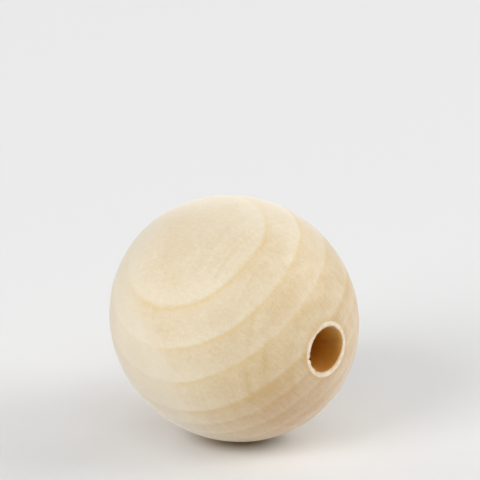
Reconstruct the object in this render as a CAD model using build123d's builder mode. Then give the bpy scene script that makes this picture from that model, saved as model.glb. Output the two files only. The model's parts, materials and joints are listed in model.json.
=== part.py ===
from build123d import *

import os
from math import asin, degrees, sqrt

# Wooden bead: one turned ball of pale, close-grained wood with a hole bored through it for a cord.
# Millimetres. The origin is the middle of the ball, on the line of the bore. X runs along the bore,
# and Z is up as the bead lies on a table.

# The ball. It was turned round, and then dried a little narrower one way across the grain.
ball_diameter = 25.0  # across the bore the wide way, and along it if the mouths were not cut off
narrow_diameter = 23.65  # across the bore the narrow way, along the growth rings
narrow_slope = 33.0  # degrees that the narrow way dips below level, on the side that faces -Y

# The bore, drilled right through, and the small flat round it at each mouth, where the ball was cut
# off square when it left the lathe.
bore_diameter = 4.6
flat_width = 0.55  # from the edge of the bore out to the edge of the flat, the wide way

ball_radius = ball_diameter / 2
bore_radius = bore_diameter / 2
flat_radius = bore_radius + flat_width
flat_distance = sqrt(ball_radius**2 - flat_radius**2)  # from the middle of the ball to each flat
flat_slope = degrees(asin(flat_radius / ball_radius))  # of a flat's edge, seen from the middle

# The ball, round about the line of the bore as it was turned, and then drawn in along Y as it dried.
with BuildPart() as ball:
    with BuildSketch():
        with BuildLine():
            side = CenterArc((0, 0), ball_radius, start_angle=flat_slope, arc_size=180 - 2 * flat_slope)
            Polyline(side @ 1, (-flat_distance, 0), (flat_distance, 0), side @ 0)
        make_face()
    revolve(axis=Axis.X)
    scale(by=(1, narrow_diameter / ball_diameter, 1))

with BuildPart() as bead:
    # The ball lies turned about its bore, so its narrow way slopes.
    add(ball.part, rotation=(narrow_slope, 0, 0))

    # The bore stays round, and leaves a ring of each flat.
    with Locations(Plane.YZ):
        Hole(bore_radius)

bead.part.label = "bead"

os.makedirs("parts", exist_ok=True)
export_step(bead.part, "parts/bead.step")

size = bead.part.bounding_box().size
print(f"bead: {size.X:.2f} x {size.Y:.2f} x {size.Z:.2f} mm, {bead.part.volume:.0f} mm3")
print(f"bore: {bore_diameter:.2f} mm across and {2 * flat_distance:.2f} mm long, from flat to flat")
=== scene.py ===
# %% [markdown]
# A wooden bead.
# The real thing is one small ball of pale, close-grained wood with a hole drilled through it for a
# cord. It was turned on a lathe, drilled, and sanded smooth, and it has no stain or varnish on it.
# The lesson goes in the order in which a maker would work: the ball with its hole, the drying that
# left it slightly oval, the small faults of the drilled edge, and then the wood itself with its
# growth rings. It starts by loading the imported solid.

import json
import math

import bmesh
import bpy
from mathutils import Euler, Matrix, Vector, noise


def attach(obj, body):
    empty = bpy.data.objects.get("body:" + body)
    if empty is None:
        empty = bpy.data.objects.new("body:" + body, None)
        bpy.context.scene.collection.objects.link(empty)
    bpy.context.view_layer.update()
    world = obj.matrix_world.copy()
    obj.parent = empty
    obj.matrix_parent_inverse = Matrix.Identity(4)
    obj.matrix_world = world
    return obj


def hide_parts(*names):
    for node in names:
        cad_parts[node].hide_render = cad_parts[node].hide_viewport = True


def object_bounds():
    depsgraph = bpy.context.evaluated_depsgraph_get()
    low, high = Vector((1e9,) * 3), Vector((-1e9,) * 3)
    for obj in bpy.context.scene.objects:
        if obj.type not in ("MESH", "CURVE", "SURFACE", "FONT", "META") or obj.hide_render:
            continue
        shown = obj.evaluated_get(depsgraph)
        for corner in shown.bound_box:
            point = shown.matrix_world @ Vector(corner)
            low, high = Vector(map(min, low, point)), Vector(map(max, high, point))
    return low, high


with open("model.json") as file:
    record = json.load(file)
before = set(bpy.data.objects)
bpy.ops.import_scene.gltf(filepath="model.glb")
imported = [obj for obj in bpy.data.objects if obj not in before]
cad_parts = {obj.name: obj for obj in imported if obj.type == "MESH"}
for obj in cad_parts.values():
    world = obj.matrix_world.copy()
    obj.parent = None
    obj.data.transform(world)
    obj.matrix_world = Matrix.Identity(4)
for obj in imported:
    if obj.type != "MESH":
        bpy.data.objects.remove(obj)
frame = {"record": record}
solid_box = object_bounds()
print("packed solid, mm:", [round((b - a) * 1000, 2) for a, b in zip(*solid_box)])

# %% [markdown]
# The sizes of the bead.
# They are the same named sizes as in the solid: a ball that was turned round, and that then dried a
# little narrower one way, along its growth rings, where wood shrinks most. The bore's radius is read
# from the part's own record, so the hole can't drift away from the one that was promised. Lengths
# are in metres, as everywhere in the scene, and MM turns millimetres into them.

# %% The sizes of the bead
MM = 0.001

ball_radius = 12.5 * MM
narrow_radius = 11.825 * MM
narrow_slope = math.radians(33.0)
flat_width = 0.55 * MM
bore_radius = frame["record"]["mounts"][0]["dims"]["r_mm"] * MM
flat_radius = bore_radius + flat_width
flat_distance = math.sqrt(ball_radius**2 - flat_radius**2)
print(f"bore {2 * bore_radius / MM:.2f} mm across and {2 * flat_distance / MM:.2f} mm long")

# %% [markdown]
# The half section.
# A lathe makes every shape by turning a profile about one line, and the spin operator does the same.
# So the first thing to draw is half of a section through the bead: the curve of the ball from one
# mouth to the other, the small flat at each mouth, and the straight wall of the bore. The curve is
# itself made with spin, from a single vertex, so no point of it has to be worked out.

# %% Draw the half section
ball_steps = 176
merge_distance = 0.001 * MM


def draw_to(profile, last, x, y):
    """Draws a straight line of the profile, from its last vertex to a new one."""
    end = bmesh.ops.extrude_vert_indiv(profile, verts=[last])["verts"][0]
    bmesh.ops.translate(profile, verts=[end], vec=Vector((x, y, 0)) - end.co)
    return end


bm = bmesh.new()
first = bmesh.ops.create_vert(bm, co=(flat_distance, flat_radius, 0))["vert"][0]
arc = bmesh.ops.spin(
    bm,
    geom=[first],
    cent=(0, 0, 0),
    axis=(0, 0, 1),
    angle=math.pi - 2 * math.asin(flat_radius / ball_radius),
    steps=ball_steps,
    use_duplicate=False,
)
last = [item for item in arc["geom_last"] if isinstance(item, bmesh.types.BMVert)][0]
last = draw_to(bm, last, -flat_distance, bore_radius)
last = draw_to(bm, last, flat_distance, bore_radius)
draw_to(bm, last, flat_distance, flat_radius)
bmesh.ops.remove_doubles(bm, verts=bm.verts, dist=merge_distance)
print("half section:", len(bm.verts), "vertices,", len(bm.edges), "edges")

# %% [markdown]
# Divide the lines.
# Most chips of the drilled edge are only about a tenth of a millimetre wide, so the mesh has to be
# finer round the mouths than elsewhere. First the one long line of the bore is divided, then the
# lines within a millimetre or so of each mouth, and last the ball's curve close to each flat.

# %% Divide the lines of the half section
near_mouth = flat_distance - 1.1 * MM
near_flat = 11.8 * MM
on_ball = 12.4 * MM


def divide(profile, longest, cuts, picked):
    """Divides each edge that is longer than this and whose middle is picked."""
    edges = []
    for edge in profile.edges:
        middle = (edge.verts[0].co + edge.verts[1].co) / 2
        if edge.calc_length() > longest and picked(middle):
            edges.append(edge)
    bmesh.ops.subdivide_edges(profile, edges=edges, cuts=cuts)
    print(len(edges), "edges divided,", len(profile.verts), "vertices now")


divide(bm, flat_distance, 23, lambda middle: True)
divide(bm, 0.5 * MM, 11, lambda middle: abs(middle.x) > near_mouth)
divide(bm, 0.12 * MM, 2, lambda middle: abs(middle.x) > near_flat and middle.length > on_ball)

# %% [markdown]
# Turn it.
# One full spin about the line of the bore gives the whole surface. use_merge joins the last step to
# the first, so the skin has no seam.

# %% Turn the half section about the bore
turn_steps = 288

bmesh.ops.spin(
    bm,
    geom=bm.verts[:] + bm.edges[:],
    cent=(0, 0, 0),
    axis=(1, 0, 0),
    angle=2 * math.pi,
    steps=turn_steps,
    use_merge=True,
    use_duplicate=False,
)
bmesh.ops.remove_doubles(bm, verts=bm.verts, dist=merge_distance)
print("turned:", len(bm.faces), "faces")

# %% [markdown]
# Let it dry.
# Wood shrinks most along its growth rings, so the ball draws in along one way across the bore. The
# hole was drilled round and stays so: the flats only draw in at their outer edge, and not at the
# hole. One loop over the vertices does this, because a plain scale would squeeze the hole as well.
# Then the bead is rolled about its bore, so that its narrow way slopes.

# %% Dry the ball narrower one way
narrow = narrow_radius / ball_radius

for v in bm.verts:
    away = math.hypot(v.co.y, v.co.z)
    share = min(max((away - bore_radius) / (flat_radius - bore_radius), 0), 1)
    v.co.y *= 1 + (narrow - 1) * share
roll = Matrix.Rotation(narrow_slope, 3, "X")
bmesh.ops.rotate(bm, cent=(0, 0, 0), matrix=roll, verts=bm.verts)
bmesh.ops.recalc_face_normals(bm, faces=bm.faces)
print(f"dried: {2 * ball_radius / MM:.2f} mm one way, {2 * narrow_radius / MM:.2f} mm the other")

# %% [markdown]
# The drilled edge.
# A drill never leaves a perfect edge in wood. It tears out short fibres, so the inner edge of each
# flat is a hair wider than the hole and wavers a little, and at the mouth on the +X side a few chips
# are gone. These are real dents in the mesh and not only shading, because they change the outline of
# the dark hole. The wavering is smooth noise, which always gives the same result. The last of the
# five chips is broad and shallow: the edge is only worn there.

# %% Widen, waver and chip the drilled edge
fault_reach = 0.6 * MM
waver_reach = 0.5 * MM
widening = 0.03 * MM
chip_reach = 0.22 * MM
waves = [(0.9 * MM, 0.05 * MM), (0.25 * MM, 0.06 * MM)]  # length and height of each wave
chips = [  # place round the mouth in Y and Z, width along the edge, and depth
    (-2.15, -0.27, 0.13 * MM, 0.22 * MM),
    (-2.20, 0.30, 0.09 * MM, 0.06 * MM),
    (-2.05, -0.95, 0.08 * MM, 0.07 * MM),
    (-1.32, -1.71, 0.12 * MM, 0.12 * MM),
    (2.30, -0.05, 0.80 * MM, 0.09 * MM),
]

for v in bm.verts:
    across = Vector((0, v.co.y, v.co.z))
    way = across.normalized()
    depth = flat_distance - abs(v.co.x)
    height = across.length - bore_radius
    away = math.hypot(depth, max(height, 0))
    if away > fault_reach:
        continue
    waver = widening
    for length, size in waves:
        waver += noise.noise(v.co / length) * size
    move = way * waver * max(1 - away / waver_reach, 0) ** 2
    if v.co.x > 0:
        for y, z, width, dent in chips:
            gap = (way * bore_radius - Vector((0, y, z)).normalized() * bore_radius).length
            move += way * dent * math.exp(-((gap / width) ** 2) - (away / chip_reach) ** 2)
    v.co += move
print("drilled edge:", len(chips), "chips")

# %% [markdown]
# From the mesh to a piece.
# The finished mesh becomes one object at the origin. It rides on the part's only body and stands for
# the imported solid, which stays hidden under it.

# %% Make the piece
mesh = bpy.data.meshes.new("turned_bead")
bm.to_mesh(mesh)
bm.free()
for face in mesh.polygons:
    face.use_smooth = True
bead = bpy.data.objects.new("turned_bead", mesh)
bpy.context.scene.collection.objects.link(bead)
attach(bead, "root")
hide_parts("bead")
print("piece:", len(mesh.polygons) * 2, "triangles")

# %% [markdown]
# Helpers for the finishes.
# A finish is a chain of nodes. The first helper adds one node, sets or wires its inputs, and hands
# back one of its outputs. The other two are short names for sums with numbers and with vectors, so
# each cell below can be read as a list of steps.

# %% Helpers for nodes
def put(tree, kind, inputs, output=0, **settings):
    """Adds a node, sets or wires its inputs by name or number, and returns one of its outputs."""
    node = tree.nodes.new(kind)
    for name, value in settings.items():
        setattr(node, name, value)
    for name, value in inputs.items():
        if isinstance(value, bpy.types.NodeSocket):
            tree.links.new(value, node.inputs[name])
        else:
            node.inputs[name].default_value = value
    return node.outputs[output]


def maths(tree, operation, *values):
    """Adds one sum with numbers."""
    return put(tree, "ShaderNodeMath", dict(enumerate(values)), operation=operation)


def vectors(tree, operation, *values):
    """Adds one sum with vectors. A length, a distance or a dot product comes out as a number."""
    output = "Value" if operation in ("LENGTH", "DISTANCE", "DOT_PRODUCT") else "Vector"
    return put(tree, "ShaderNodeVectorMath", dict(enumerate(values)), output, operation=operation)


print("helpers: put, maths and vectors")

# %% [markdown]
# Where the bead sat in the tree.
# Growth rings are long, nearly round tubes about the middle of the trunk, and a turned ball cuts
# through them. So the pattern is not painted on: the material works out how far each point of the
# bead lay from the middle of the tree. For this bead that middle was 29 mm away, below it and to one
# side, and the fibres ran nearly along the bore. The same rings then show rightly from every side.
# Inside the material all lengths are in millimetres.

# %% Place the bead in the tree
TO_MM = (1000.0, 1000.0, 1000.0)
pith = Vector((0.86, 14.69, -25.42))
fibre_way = Vector((0.9944, 0.0737, 0.0763)).normalized()
out_way = Vector((-0.029, -0.500, 0.865))
out_way = (out_way - fibre_way * out_way.dot(fibre_way)).normalized()
tree_turn = Matrix((out_way.cross(fibre_way), out_way, fibre_way))

wood = bpy.data.materials.new("turned_pale_wood")
wood.use_nodes = True
tree = wood.node_tree
tree.nodes.clear()

on_bead = put(tree, "ShaderNodeTexCoord", {}, "Object")
tree_place = {"Scale": TO_MM, "Rotation": tree_turn.to_euler(), "Location": -(tree_turn @ pith)}
in_tree = put(tree, "ShaderNodeMapping", {"Vector": on_bead, **tree_place})
print("bead is", round(pith.length, 1), "mm from the middle of the tree")

# %% [markdown]
# The distance from the middle of the tree.
# A trunk is never quite round, so each point is first moved a little by a slow noise. Its height in
# the trunk is then left out, and what remains is its distance from the line of the pith.

# %% The distance from the pith
wander_scale = 0.16
wander_width = 0.45

wander = put(
    tree, "ShaderNodeTexNoise", {"Vector": in_tree, "Scale": wander_scale, "Detail": 4.0}, "Color"
)
wander = vectors(tree, "SUBTRACT", wander, (0.5, 0.5, 0.5))
wander = vectors(tree, "MULTIPLY", wander, (wander_width, wander_width, 0.0))
crooked = vectors(tree, "ADD", in_tree, wander)
distance = vectors(tree, "LENGTH", vectors(tree, "MULTIPLY", crooked, (1.0, 1.0, 0.0)))
print("rings wander by up to", wander_width / 2, "mm")

# %% [markdown]
# Helpers for shares.
# A share is a number from 0 to 1 that says how much of something a point has. These helpers make one
# from a distance, multiply two, and look one up in a row of levels.

# %% Helpers for shares
def times(tree, first, second):
    """Multiplies two numbers."""
    return maths(tree, "MULTIPLY", first, second)


def remap(tree, value, start, end, first, last):
    """Goes evenly from the first number to the last as the value goes from start to end."""
    return put(tree, "ShaderNodeMapRange", {0: value, 1: start, 2: end, 3: first, 4: last})


def step(tree, value, start, end):
    """Goes smoothly from 0 to 1 as the value goes from start to end, upwards or downwards."""
    return put(
        tree,
        "ShaderNodeMapRange",
        {0: value, 1: start, 2: end, 3: 0.0, 4: 1.0},
        interpolation_type="SMOOTHSTEP",
    )


def grey(level):
    """A colour with no hue."""
    return (level, level, level, 1)


def ramp(tree, share, levels):
    """Looks a share up in a row of levels, each given with its place in the row."""
    node = tree.nodes.new("ShaderNodeValToRGB")
    points = node.color_ramp.elements
    for index, (spot, level) in enumerate(levels):
        point = points[index] if index < 2 else points.new(spot)
        point.position = spot
        point.color = grey(level)
    tree.links.new(share, node.inputs[0])
    return node.outputs[0]


print("helpers: times, remap, step, grey and ramp")

# %% [markdown]
# Growth rings.
# Each year's wood starts pale, turns slowly tanner, and ends in a thin yellow-brown line, so the
# colour across a ring is a saw tooth and not a stripe. A curve turns the distance from the middle of
# the tree into a count of years. Its points are the lines that the bead shows, with years of usual
# width beyond them for the hidden side. The fraction of the count is then looked up in two ramps,
# one for the slow drift of a year and one for its thin last line. Two years differ from the rest,
# as in a real tree: one ended slowly and left a soft band, and one grew darker towards its end.

# %% Growth rings
ring_lines = (14.4, 17.1, 19.7, 22.1, 24.4, 26.85, 29.0, 31.12, 34.54, 37.23, 39.69, 42.4, 45.0)
drift_levels = [(0.0, 0.6), (0.10, 0.0), (0.45, 0.75), (0.90, 1.0), (1.0, 0.6)]
line_levels = [(0.0, 0.7), (0.05, 0.0), (0.80, 0.0), (0.91, 0.3), (0.97, 1.0), (1.0, 0.7)]
slow_line = 29.0
slow_band = (0.7, 0.2)
wet_start = (30.0, 30.9)
wet_end = (31.1, 31.25)

first_line, last_line = ring_lines[0], ring_lines[-1]
years = len(ring_lines) - 1
curve = tree.nodes.new("ShaderNodeFloatCurve")
points = curve.mapping.curves[0].points
for index, line in enumerate(ring_lines[1:-1], 1):
    points.new((line - first_line) / (last_line - first_line), index / years)
for point in points:
    point.handle_type = "VECTOR"
curve.mapping.update()
across_rings = remap(tree, distance, first_line, last_line, 0.0, 1.0)
tree.links.new(across_rings, curve.inputs["Value"])
season = maths(tree, "FRACT", times(tree, curve.outputs[0], float(years)))

season_drift = ramp(tree, season, drift_levels)
season_line = ramp(tree, season, line_levels)
from_slow_line = maths(tree, "ABSOLUTE", maths(tree, "SUBTRACT", distance, slow_line))
slow_year = step(tree, from_slow_line, *slow_band)
wet_year = maths(
    tree, "SUBTRACT", step(tree, distance, *wet_start), step(tree, distance, *wet_end)
)
print("growth rings:", years, "years across the bead")

# %% [markdown]
# Rays and fibres.
# In pale woods such as birch and maple, thin rays run outwards from the middle of the tree. Where
# the ball cuts along them they are short fine streaks that cross the rings, and the fibres give a
# finer grain along the trunk. Both are noise that is stretched in the tree's own directions: round
# the tree, outwards from its middle, and up the trunk. A rounder, finer noise adds the cut ends of
# the pores, and a slow one adds clouds.

# %% Rays, fibres, pores and clouds
usual_distance = 29.4
ray_stretch = (4.5, 0.6, 1.5)
fibre_stretch = (8.0, 8.0, 1.2)


def noise_at(tree, place, scale, detail, roughness):
    """Noise about a half, with so many patches to one unit of the place."""
    settings = {"Vector": place, "Scale": scale, "Detail": detail, "Roughness": roughness}
    return put(tree, "ShaderNodeTexNoise", settings)


parts = tree.nodes.new("ShaderNodeSeparateXYZ")
tree.links.new(in_tree, parts.inputs[0])
angle_round = maths(tree, "ARCTAN2", parts.outputs["X"], parts.outputs["Y"])
round_tree = times(tree, angle_round, usual_distance)
up_tree = parts.outputs["Z"]
rolled = put(tree, "ShaderNodeCombineXYZ", {0: round_tree, 1: distance, 2: up_tree})

ray_place = vectors(tree, "MULTIPLY", rolled, ray_stretch)
fibre_place = vectors(tree, "MULTIPLY", rolled, fibre_stretch)
rays = noise_at(tree, ray_place, scale=1.0, detail=3.0, roughness=0.6)
fibres = noise_at(tree, fibre_place, scale=1.0, detail=2.0, roughness=0.5)
pores = noise_at(tree, in_tree, scale=4.5, detail=2.0, roughness=0.6)
clouds = noise_at(tree, in_tree, scale=0.35, detail=3.0, roughness=0.55)
print("rays and fibres follow the tree's own directions")

# %% [markdown]
# End grain and the lathe's marks.
# The fibres run along the bore, so the ball cuts them lengthwise at its waist and straight across
# near the mouths. End grain soaks up more light, so it is darker and blotchy there. It is darker
# still where it lies nearer to the middle of the tree, which is low down, and a little less dark on
# the +Y side: that part is painted shade. Right at the mouths it is a little less dark.
# The turning tool has left very faint rings about the bore, which cross the growth rings.

# %% End grain and turning marks
end_start, end_full = 3.0, 11.0
inner_ring, inner_share = 30.5, 0.66
outer_ring, outer_share = 38.5, 0.12
pale_end = (10.2, 12.0)
pale_side = (-2.0, 4.0)
turned_patches = (0.45, 0.6)


def fade(tree, value, share, amount=1.0):
    """Takes this much of the value away where the share is 1, and less where it is less."""
    return times(tree, value, maths(tree, "MULTIPLY_ADD", share, -amount, 1.0))


in_mm = vectors(tree, "MULTIPLY", on_bead, TO_MM)
from_bore = vectors(tree, "LENGTH", vectors(tree, "MULTIPLY", in_mm, (0.0, 1.0, 1.0)))
ways = tree.nodes.new("ShaderNodeSeparateXYZ")
tree.links.new(in_mm, ways.inputs[0])
along_bore, across_bore, above_bore = ways.outputs
along = maths(tree, "ABSOLUTE", along_bore)

end_grain = step(tree, along, end_start, end_full)
# Darker end grain is the wood's own. Its extra darkness nearer the middle of the tree, low down, is
# painted shade.
end_grain_and_shade = remap(tree, distance, inner_ring, outer_ring, inner_share, outer_share)
end_grain_and_shade = times(tree, end_grain_and_shade, end_grain)
end_grain_and_shade = fade(tree, end_grain_and_shade, step(tree, along, *pale_end), amount=0.25)
end_grain_and_shade = fade(tree, end_grain_and_shade, step(tree, across_bore, *pale_side), amount=0.35)
blotches = noise_at(tree, in_tree, scale=0.9, detail=3.0, roughness=0.6)

turning = put(
    tree,
    "ShaderNodeTexNoise",
    {"W": along_bore, "Scale": 1.5, "Detail": 2.0, "Roughness": 0.6},
    noise_dimensions="1D",
)
turned_here = noise_at(tree, in_tree, scale=0.12, detail=2.0, roughness=0.5)
turned_here = step(tree, turned_here, *turned_patches)
print(f"end grain from {end_start:.0f} mm along the bore to the mouths")

# %% [markdown]
# Painted sheen, painted top light and uneven lines.
# A paler, greyer colour is painted on the -Y side of the bead over its -X half, and low down a
# little
# beyond it: a painted sheen where light grazes that side. The very top is painted paler as well:
# painted light. The thin lines of the years are fainter under this painted light and near the
# mouths. They are left out where the slow year ends, and elsewhere they come and go.

# %% Painted sheen and top light, and uneven lines
painted_sheen_along = (-1.5, -5.5)
painted_sheen_across = (1.0, -6.5)
low_part = (6.0, -1.0)
low_shift = 6.0
top_light_range = (10.0, 12.2)
top_light_share = 0.6
uneven_range, uneven_share = (0.35, 0.65), (0.7, 1.15)
end_blur = (9.0, 11.8)

# Painted sheen on the -Y, -X side of the ball, and painted light on its top.
low_side = step(tree, above_bore, *low_part)
painted_light = maths(tree, "MULTIPLY_ADD", low_side, -low_shift, along_bore)
painted_light = step(tree, painted_light, *painted_sheen_along)
painted_light = times(tree, painted_light, step(tree, across_bore, *painted_sheen_across))
painted_top_light = times(tree, step(tree, above_bore, *top_light_range), top_light_share)
painted_light = maths(tree, "MAXIMUM", painted_light, painted_top_light)

uneven = noise_at(tree, in_tree, scale=0.22, detail=2.0, roughness=0.5)
line_share = remap(tree, uneven, *uneven_range, *uneven_share)
line_share = fade(tree, line_share, slow_year)
line_share = fade(tree, line_share, painted_light, amount=0.45)
line_share = fade(tree, line_share, step(tree, along, *end_blur), amount=0.6)
print("the lines of the years fade in bleached wood and near the mouths")

# %% [markdown]
# The colour of the wood.
# Most causes only move one share between a pale and a tan wood, so their patches stay within the two
# colours of one tree. Each row of the list is one cause, with how much it moves the share. Noise
# lies about a half, so half of its amount is taken off again. The darker end grain is one of them,
# and part of it is painted shade. The tan is rosier towards the middle of the tree. Over that come
# the thin lines of the years, the painted sheen and painted top light, and one tiny fleck near the
# top.

# %% The colour of the wood
pale_wood = (0.80, 0.702, 0.528, 1)
tan_wood = (0.655, 0.466, 0.226, 1)
rosy_wood = (0.66, 0.435, 0.235, 1)
line_wood = (0.73, 0.52, 0.19, 1)
# The paler, greyer colour of the painted sheen and the painted top light.
painted_light_colour = (0.80, 0.725, 0.60, 1)
fleck_wood = (0.40, 0.27, 0.14, 1)
rosy_range = (33.0, 26.0)
line_strength = 0.46
painted_light_strength = 0.48
fleck_strength = 0.35
fleck_way = (0.0633, -0.0440, 0.9970)
fleck_size = 0.016
start_tone = 0.06


def blend(tree, share, first, second):
    """Mixes two colours."""
    return put(tree, "ShaderNodeMix", {0: share, 6: first, 7: second}, 2, data_type="RGBA")


causes = [  # share, how much it counts, and the share that counts as none
    (season_drift, 0.26, 0.0),
    (slow_year, 0.06, 0.0),
    (wet_year, 0.12, 0.0),
    # darker end grain, and painted shade low down
    (end_grain_and_shade, 1.0, 0.0),
    (rays, 0.55, 0.5),
    (fibres, 0.26, 0.5),
    (pores, 0.50, 0.5),
    (clouds, 0.52, 0.5),
    (times(tree, maths(tree, "SUBTRACT", blotches, 0.5), end_grain), 0.5, 0.0),
    (times(tree, maths(tree, "SUBTRACT", turning, 0.5), turned_here), 0.45, 0.0),
]
tone = start_tone
for cause, amount, none in causes:
    tone = maths(tree, "ADD", tone, maths(tree, "MULTIPLY_ADD", cause, amount, -amount * none))
tone = put(tree, "ShaderNodeClamp", {0: tone})

darker_wood = blend(tree, step(tree, distance, *rosy_range), tan_wood, rosy_wood)
sanded = blend(tree, tone, pale_wood, darker_wood)
line_share = times(tree, times(tree, season_line, line_share), line_strength)
sanded = blend(tree, line_share, sanded, line_wood)
# Painted sheen and painted top light: a paler, greyer colour over the wood.
sanded = blend(tree, times(tree, painted_light, painted_light_strength), sanded, painted_light_colour)
from_fleck = vectors(tree, "DISTANCE", vectors(tree, "NORMALIZE", on_bead), fleck_way)
fleck = times(tree, step(tree, from_fleck, fleck_size, 0.0), fleck_strength)
sanded = blend(tree, fleck, sanded, fleck_wood)
print("colour runs from", pale_wood[:3], "to", tan_wood[:3], "by", len(causes), "causes")

# %% [markdown]
# The wall of the bore.
# The drill rubbed the wall hot, so it is brown, more orange further in, and with a few smoky streaks
# along the fibres. It is painted paler towards its top: painted light on the wall. How far in a
# point lies is counted from the nearest mouth.

# %% The wall of the bore
lower_bore = (0.54, 0.235, 0.035, 1)
# The wall's lower colour, and its paler upper colour, which is painted light.
painted_lit_bore = (0.86, 0.54, 0.15, 1)
scorched_wood = (0.80, 0.39, 0.03, 1)
smoke_wood = (0.47, 0.23, 0.05, 1)
lit_wall_range = (-1.6, 2.0)
deep_part, deep_strength = (0.2, 3.0), 0.5
streak_stretch = (2.2, 2.2, 0.7)
smoky_range, smoky_strength = (0.45, 0.80), 0.6

inwards = maths(tree, "SUBTRACT", flat_distance / MM, along)
streak_place = vectors(tree, "MULTIPLY", in_tree, streak_stretch)
streaks = noise_at(tree, streak_place, scale=1.0, detail=3.0, roughness=0.6)

# Painted light: the wall is painted paler towards its top.
wall = blend(tree, step(tree, above_bore, *lit_wall_range), lower_bore, painted_lit_bore)
deep = times(tree, step(tree, inwards, *deep_part), deep_strength)
wall = blend(tree, deep, wall, scorched_wood)
smoky = times(tree, step(tree, streaks, *smoky_range), smoky_strength)
wall = blend(tree, smoky, wall, smoke_wood)
print("wall of the bore: deepest colour from", deep_part[1], "mm inwards")

# %% [markdown]
# The rim of the mouth.
# The small flat at each mouth is cut straight across the fibres and was hardly handled, so it is the
# whitest part of the bead, with slightly worn patches. The drill has rubbed its inner edge, and on
# one side sandpaper has taken the white off its outer edge. Last, the colours of the ball, the wall
# and the rim are put together by how far in from the mouth and how far from the bore's line each
# point lies.

# %% The rim of the mouth
rim_wood = (0.90, 0.81, 0.67, 1)
worn_rim = (0.80, 0.66, 0.46, 1)
rubbed_wood = (0.71, 0.41, 0.14, 1)
worn_range = (0.40, 0.62)
rubbed_edge, rubbed_strength = (2.50, 2.37), 0.6
worn_side = (0.0, -0.574, 0.819)
worn_off_range = (2.53, 2.65)
by_rim_range, by_rim_strength = (0.16, 0.03), 0.3
in_bore_range, in_bore_radius = (0.03, 0.12), (2.6, 2.5)
on_rim_range = (0.02, 0.004)

rim = blend(tree, step(tree, streaks, *worn_range), rim_wood, worn_rim)
rubbed = times(tree, step(tree, from_bore, *rubbed_edge), rubbed_strength)
rim = blend(tree, rubbed, rim, rubbed_wood)
worn_off = step(tree, vectors(tree, "DOT_PRODUCT", in_mm, worn_side), *worn_off_range)

by_rim = times(tree, step(tree, inwards, *by_rim_range), by_rim_strength)
in_bore = step(tree, inwards, *in_bore_range)
in_bore = times(tree, in_bore, step(tree, from_bore, *in_bore_radius))
on_rim = fade(tree, step(tree, inwards, *on_rim_range), worn_off, amount=0.8)

colour = blend(tree, by_rim, sanded, rubbed_wood)
colour = blend(tree, in_bore, colour, wall)
colour = blend(tree, on_rim, colour, rim)
print("rim: begins", on_rim_range[0], "mm inwards of the mouth")

# %% [markdown]
# The surface.
# Sanded bare wood is dull, with a pale sheen where light grazes it. The grain stands up by only a
# few hundredths of a millimetre, so it is left to the shader as a bump.

# %% The surface
bump_height = 0.02 * MM

relief = maths(tree, "MULTIPLY_ADD", fibres, 0.6, times(tree, pores, 0.5))
relief = maths(tree, "MULTIPLY_ADD", rays, 0.4, relief)
bump = {"Height": relief, "Distance": bump_height, "Strength": 1.0}
bumped = put(tree, "ShaderNodeBump", bump, "Normal")

surface = tree.nodes.new("ShaderNodeBsdfPrincipled")
surface.inputs["Roughness"].default_value = 0.5
surface.inputs["IOR"].default_value = 1.45
surface.inputs["Sheen Weight"].default_value = 0.5
surface.inputs["Sheen Roughness"].default_value = 0.3
tree.links.new(colour, surface.inputs["Base Color"])
tree.links.new(bumped, surface.inputs["Normal"])
output = tree.nodes.new("ShaderNodeOutputMaterial")
tree.links.new(surface.outputs[0], output.inputs["Surface"])
mesh.materials.append(wood)
print("surface: bare sanded wood,", len(tree.nodes), "nodes")

# %% [markdown]
# The floor.
# The bead lies on a large plain pale sheet, which touches its lowest point and catches the shadow.
# Real light goes to and fro between the wood and the sheet and leaves the deepest shadow brown. The
# lamps alone show less of that, so a brown shadow is also painted on the sheet close to the bead's
# foot: painted shade.

# %% The floor
floor_height = solid_box[0].z
floor_size = 1.2
sheet_grey = 0.77
painted_shadow_brown = (0.72, 0.60, 0.46, 1)
painted_shadow_range = (5.2 * MM, 1.2 * MM)

bm = bmesh.new()
bmesh.ops.create_grid(bm, x_segments=1, y_segments=1, size=floor_size)
bmesh.ops.translate(bm, verts=bm.verts, vec=(0, 0, floor_height))
floor_mesh = bpy.data.meshes.new("floor")
bm.to_mesh(floor_mesh)
bm.free()
floor = bpy.data.objects.new("floor", floor_mesh)
bpy.context.scene.collection.objects.link(floor)

paper = bpy.data.materials.new("pale_sheet")
paper.use_nodes = True
sheet = paper.node_tree
on_sheet = put(sheet, "ShaderNodeTexCoord", {}, "Object")
from_foot = vectors(sheet, "DISTANCE", on_sheet, (0, 0, floor_height))
# Painted shade: a brown contact shadow painted on the sheet within about 5 mm of the bead's foot.
sheet_colour = blend(sheet, step(sheet, from_foot, *painted_shadow_range), grey(sheet_grey), painted_shadow_brown)
paper_surface = sheet.nodes["Principled BSDF"]
sheet.links.new(sheet_colour, paper_surface.inputs["Base Color"])
paper_surface.inputs["Roughness"].default_value = 0.9
paper_surface.inputs["Specular IOR Level"].default_value = 0.2
floor_mesh.materials.append(paper)
print(f"floor at {floor_height / MM:.2f} mm")

# %% [markdown]
# The background.
# Seen from low down, the sheet ends at the horizon, and a plain pale grey lies above it. Only the
# camera sees that grey: it gives no light, so the lamps alone shape the bead.

# %% The background
background_grey = 0.83

world = bpy.data.worlds.new("pale_background")
world.use_nodes = True
sky = world.node_tree
sky.nodes.clear()
seen = times(sky, put(sky, "ShaderNodeLightPath", {}, "Is Camera Ray"), background_grey)
background = put(sky, "ShaderNodeBackground", {"Color": grey(1.0), "Strength": seen})
sky_output = sky.nodes.new("ShaderNodeOutputWorld")
sky.links.new(background, sky_output.inputs["Surface"])
bpy.context.scene.world = world
print("background: grey", background_grey)

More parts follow.
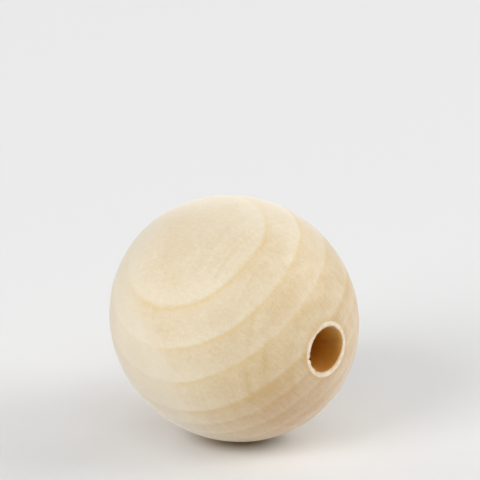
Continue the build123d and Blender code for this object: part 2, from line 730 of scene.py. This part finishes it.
# %% [markdown]
# The light.
# The bead stands in soft studio light, from nine square lamps in a ring. The strongest is in front,
# to the left, and it is also the smallest, so it gives the shadow most of its shape. The next is on
# the right, and weaker ones in front, behind and on the left fill in as pale walls do. So the top
# and the left of the ball are bright, its lower right is darker, and the shadow stays soft.

# %% The light
camera_angle = math.radians(42.8)
picture_right = Vector((math.cos(camera_angle), math.sin(camera_angle), 0))
picture_back = Vector((-math.sin(camera_angle), math.cos(camera_angle), 0))
picture_up = Vector((0, 0, 1))
lamp_distance = 1.3
lamps = [  # name, degrees from the picture's right towards its back, degrees up, size, power
    ("lamp_front_left", 225, 33, 0.65, 9.2),
    ("lamp_front", 270, 50, 0.8, 4.0),
    ("lamp_front_right", 315, 50, 0.8, 2.0),
    ("lamp_right", 0, 30, 0.8, 8.4),
    ("lamp_back_right", 45, 30, 0.8, 4.9),
    ("lamp_back_low", 90, 14, 0.8, 3.9),
    ("lamp_back_high", 90, 60, 0.8, 0.8),
    ("lamp_back_left", 135, 30, 0.8, 2.9),
    ("lamp_left", 180, 20, 0.8, 2.6),
]


def soft_lamp(name, way, height, size, power):
    """Adds a square lamp that looks at the bead."""
    lamp = bpy.data.lights.new(name, "AREA")
    lamp.shape = "SQUARE"
    lamp.size = size
    lamp.energy = power
    holder = bpy.data.objects.new(name, lamp)
    level = picture_right * math.cos(way) + picture_back * math.sin(way)
    holder.location = lamp_distance * (level * math.cos(height) + picture_up * math.sin(height))
    holder.rotation_euler = (-holder.location).to_track_quat("-Z", "Y").to_euler()
    bpy.context.scene.collection.objects.link(holder)
    print(name, "shines with", power, "W")


for name, way, height, size, power in lamps:
    soft_lamp(name, math.radians(way), math.radians(height), size, power)

# %% [markdown]
# The camera.
# The photograph looks at the bead from 42.8 degrees round, counted from the front, and 21.3 degrees
# up, through a long lens. The bead isn't in the middle of the picture, so the camera is turned a
# little away from it, to the right and up. The lens is given in pixels of the photograph.

# %% The camera
camera_height = math.radians(21.3)
camera_distance = 600.0 * MM
lens_pixels = 6102.0
picture_size = 480.0
bead_across = 233.8 - picture_size / 2
bead_down = 318.45 - picture_size / 2

lens = bpy.data.cameras.new("camera")
lens.sensor_width = 36.0
lens.lens = lens.sensor_width * lens_pixels / picture_size
lens.clip_start = 0.01
eye = bpy.data.objects.new("camera", lens)
bpy.context.scene.collection.objects.link(eye)
level_part = math.cos(camera_height) * -picture_back
eye.location = camera_distance * (level_part + math.sin(camera_height) * picture_up)
turn = math.atan(-bead_across / lens_pixels)
lift = math.atan(bead_down / math.hypot(lens_pixels, bead_across))
eye.rotation_euler = Euler((math.pi / 2 - camera_height + lift, 0, camera_angle - turn))
bpy.context.scene.camera = eye
print(f"camera: {lens.lens:.1f} mm lens, {camera_distance / MM:.1f} mm away")

# %% [markdown]
# The last settings.
# The picture is shown with plain colours.

# %% Finish
bpy.context.scene.view_settings.view_transform = "Standard"
